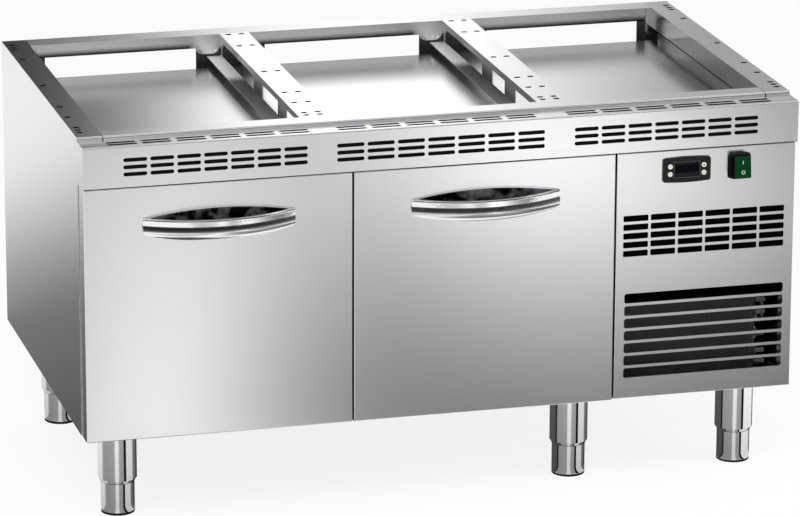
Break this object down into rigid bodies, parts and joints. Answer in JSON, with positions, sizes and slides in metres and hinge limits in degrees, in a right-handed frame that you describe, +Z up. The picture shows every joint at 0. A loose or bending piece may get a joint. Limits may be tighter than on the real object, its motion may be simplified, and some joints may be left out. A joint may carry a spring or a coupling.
{
  "type": "refrigerated drawer counter",
  "caption": "Low refrigerated counter with deep insulated drawers, a cooling compartment beside them, adjustable legs and an open slotted top frame that carries cooking units.",
  "frame": {"origin": "on the floor, under the middle of the whole counter", "axes": "+X along the front to the right, -Y towards the user, +Z up"},
  "size_m": [1.2, 0.734, 0.65],
  "materials": {
    "satin_steel": "satin",
    "polished_steel": "polished",
    "leg_chrome": "polished",
    "galvanised_steel": "satin",
    "insulating_foam": "matte",
    "liner_plastic": "matte",
    "gasket_rubber": "matte",
    "black_plastic": "gloss",
    "display_lens": "gloss",
    "button_plastic": "matte",
    "green_plastic": "gloss",
    "fin_aluminium": "satin",
    "tube_steel": "satin",
    "black_paint": "satin",
    "black_matte_plastic": "matte"
  },
  "bodies": {
    "cabinet": {"left_side_panel": "satin_steel", "right_side_panel": "satin_steel", "back_panel": "galvanised_steel", "base_panel": "galvanised_steel", "top_deck": "polished_steel", "cabinet_liner": "satin_steel", "insulation_foam": "insulating_foam", "partition_panel": "galvanised_steel", "left_rail": "satin_steel", "right_rail": "satin_steel", "front_rail": "satin_steel", "rear_rail": "satin_steel", "cross_rail_left": "satin_steel", "cross_rail_right": "satin_steel", "rear_brackets": "galvanised_steel", "front_fascia": "satin_steel", "service_panel": "satin_steel", "thermostat_case": "black_plastic", "thermostat_lens": "display_lens", "switch_boot": "black_plastic", "compressor": "black_paint", "cooling_tray": "galvanised_steel", "condenser_coil": "fin_aluminium", "fan_shroud": "black_paint", "control_box": "black_matte_plastic", "refrigerant_pipes": "tube_steel", "evaporator_box": "liner_plastic", "evaporator_coil": "fin_aluminium", "mains_gland": "black_matte_plastic", "leg_sleeves": "leg_chrome", "fixed_runners": "galvanised_steel"},
    "drawer_1": {"drawer_front_1": "satin_steel", "drawer_liner_1": "liner_plastic", "drawer_gasket_1": "gasket_rubber", "drawer_box_1": "satin_steel", "drawer_runners_1": "galvanised_steel", "handle_1": "satin_steel", "handle_cup_1": "black_plastic"},
    "middle_1": {"middle_runners_1": "galvanised_steel"},
    "drawer_2": {"drawer_front_2": "satin_steel", "drawer_liner_2": "liner_plastic", "drawer_gasket_2": "gasket_rubber", "drawer_box_2": "satin_steel", "drawer_runners_2": "galvanised_steel", "handle_2": "satin_steel", "handle_cup_2": "black_plastic"},
    "middle_2": {"middle_runners_2": "galvanised_steel"},
    "button_upper_left": {"button_upper_left": "button_plastic"},
    "button_upper_right": {"button_upper_right": "button_plastic"},
    "button_lower_left": {"button_lower_left": "button_plastic"},
    "button_lower_right": {"button_lower_right": "button_plastic"},
    "switch_rocker": {"switch_rocker": "green_plastic"},
    "condenser_fan": {"condenser_fan": "black_matte_plastic"},
    "evaporator_fan": {"evaporator_fan": "black_matte_plastic"},
    "foot_front_left": {"foot_front_left": "leg_chrome"},
    "foot_front_middle": {"foot_front_middle": "leg_chrome"},
    "foot_front_right": {"foot_front_right": "leg_chrome"},
    "foot_rear_left": {"foot_rear_left": "leg_chrome"},
    "foot_rear_middle": {"foot_rear_middle": "leg_chrome"},
    "foot_rear_right": {"foot_rear_right": "leg_chrome"}
  },
  "joints": [
    {"name": "drawer_1_slide", "type": "slide", "parent": "cabinet", "child": "drawer_1", "axis": [0, -1, 0], "range_m": [0, 0.46]},
    {"name": "middle_1_slide", "type": "slide", "parent": "cabinet", "child": "middle_1", "axis": [0, -1, 0], "range_m": [0, 0.23]},
    {"name": "drawer_2_slide", "type": "slide", "parent": "cabinet", "child": "drawer_2", "axis": [0, -1, 0], "range_m": [0, 0.46]},
    {"name": "middle_2_slide", "type": "slide", "parent": "cabinet", "child": "middle_2", "axis": [0, -1, 0], "range_m": [0, 0.23]},
    {"name": "button_upper_left_press", "type": "slide", "parent": "cabinet", "child": "button_upper_left", "axis": [0, 1, 0], "range_m": [0, 0.001], "stiffness_N_per_m": 400},
    {"name": "button_upper_right_press", "type": "slide", "parent": "cabinet", "child": "button_upper_right", "axis": [0, 1, 0], "range_m": [0, 0.001], "stiffness_N_per_m": 400},
    {"name": "button_lower_left_press", "type": "slide", "parent": "cabinet", "child": "button_lower_left", "axis": [0, 1, 0], "range_m": [0, 0.001], "stiffness_N_per_m": 400},
    {"name": "button_lower_right_press", "type": "slide", "parent": "cabinet", "child": "button_lower_right", "axis": [0, 1, 0], "range_m": [0, 0.001], "stiffness_N_per_m": 400},
    {"name": "switch_rock", "type": "hinge", "parent": "cabinet", "child": "switch_rocker", "pos_m": [0.5008, -0.333, 0.54], "axis": [1, 0, 0], "range_deg": [0, 14]},
    {"name": "condenser_fan_spin", "type": "hinge", "parent": "cabinet", "child": "condenser_fan", "pos_m": [0.42875, -0.2105, 0.2225], "axis": [0, -1, 0], "continuous": true},
    {"name": "evaporator_fan_spin", "type": "hinge", "parent": "cabinet", "child": "evaporator_fan", "pos_m": [0.329, 0.168, 0.47], "axis": [1, 0, 0], "continuous": true},
    {"name": "foot_front_left_height", "type": "slide", "parent": "cabinet", "child": "foot_front_left", "axis": [0, 0, -1], "range_m": [-0.02, 0.025]},
    {"name": "foot_front_middle_height", "type": "slide", "parent": "cabinet", "child": "foot_front_middle", "axis": [0, 0, -1], "range_m": [-0.02, 0.025]},
    {"name": "foot_front_right_height", "type": "slide", "parent": "cabinet", "child": "foot_front_right", "axis": [0, 0, -1], "range_m": [-0.02, 0.025]},
    {"name": "foot_rear_left_height", "type": "slide", "parent": "cabinet", "child": "foot_rear_left", "axis": [0, 0, -1], "range_m": [-0.02, 0.025]},
    {"name": "foot_rear_middle_height", "type": "slide", "parent": "cabinet", "child": "foot_rear_middle", "axis": [0, 0, -1], "range_m": [-0.02, 0.025]},
    {"name": "foot_rear_right_height", "type": "slide", "parent": "cabinet", "child": "foot_rear_right", "axis": [0, 0, -1], "range_m": [-0.02, 0.025]}
  ],
  "couplings": [
    {"joint": "middle_1_slide", "follows": "drawer_1_slide", "ratio": 0.5},
    {"joint": "middle_2_slide", "follows": "drawer_2_slide", "ratio": 0.5}
  ]
}
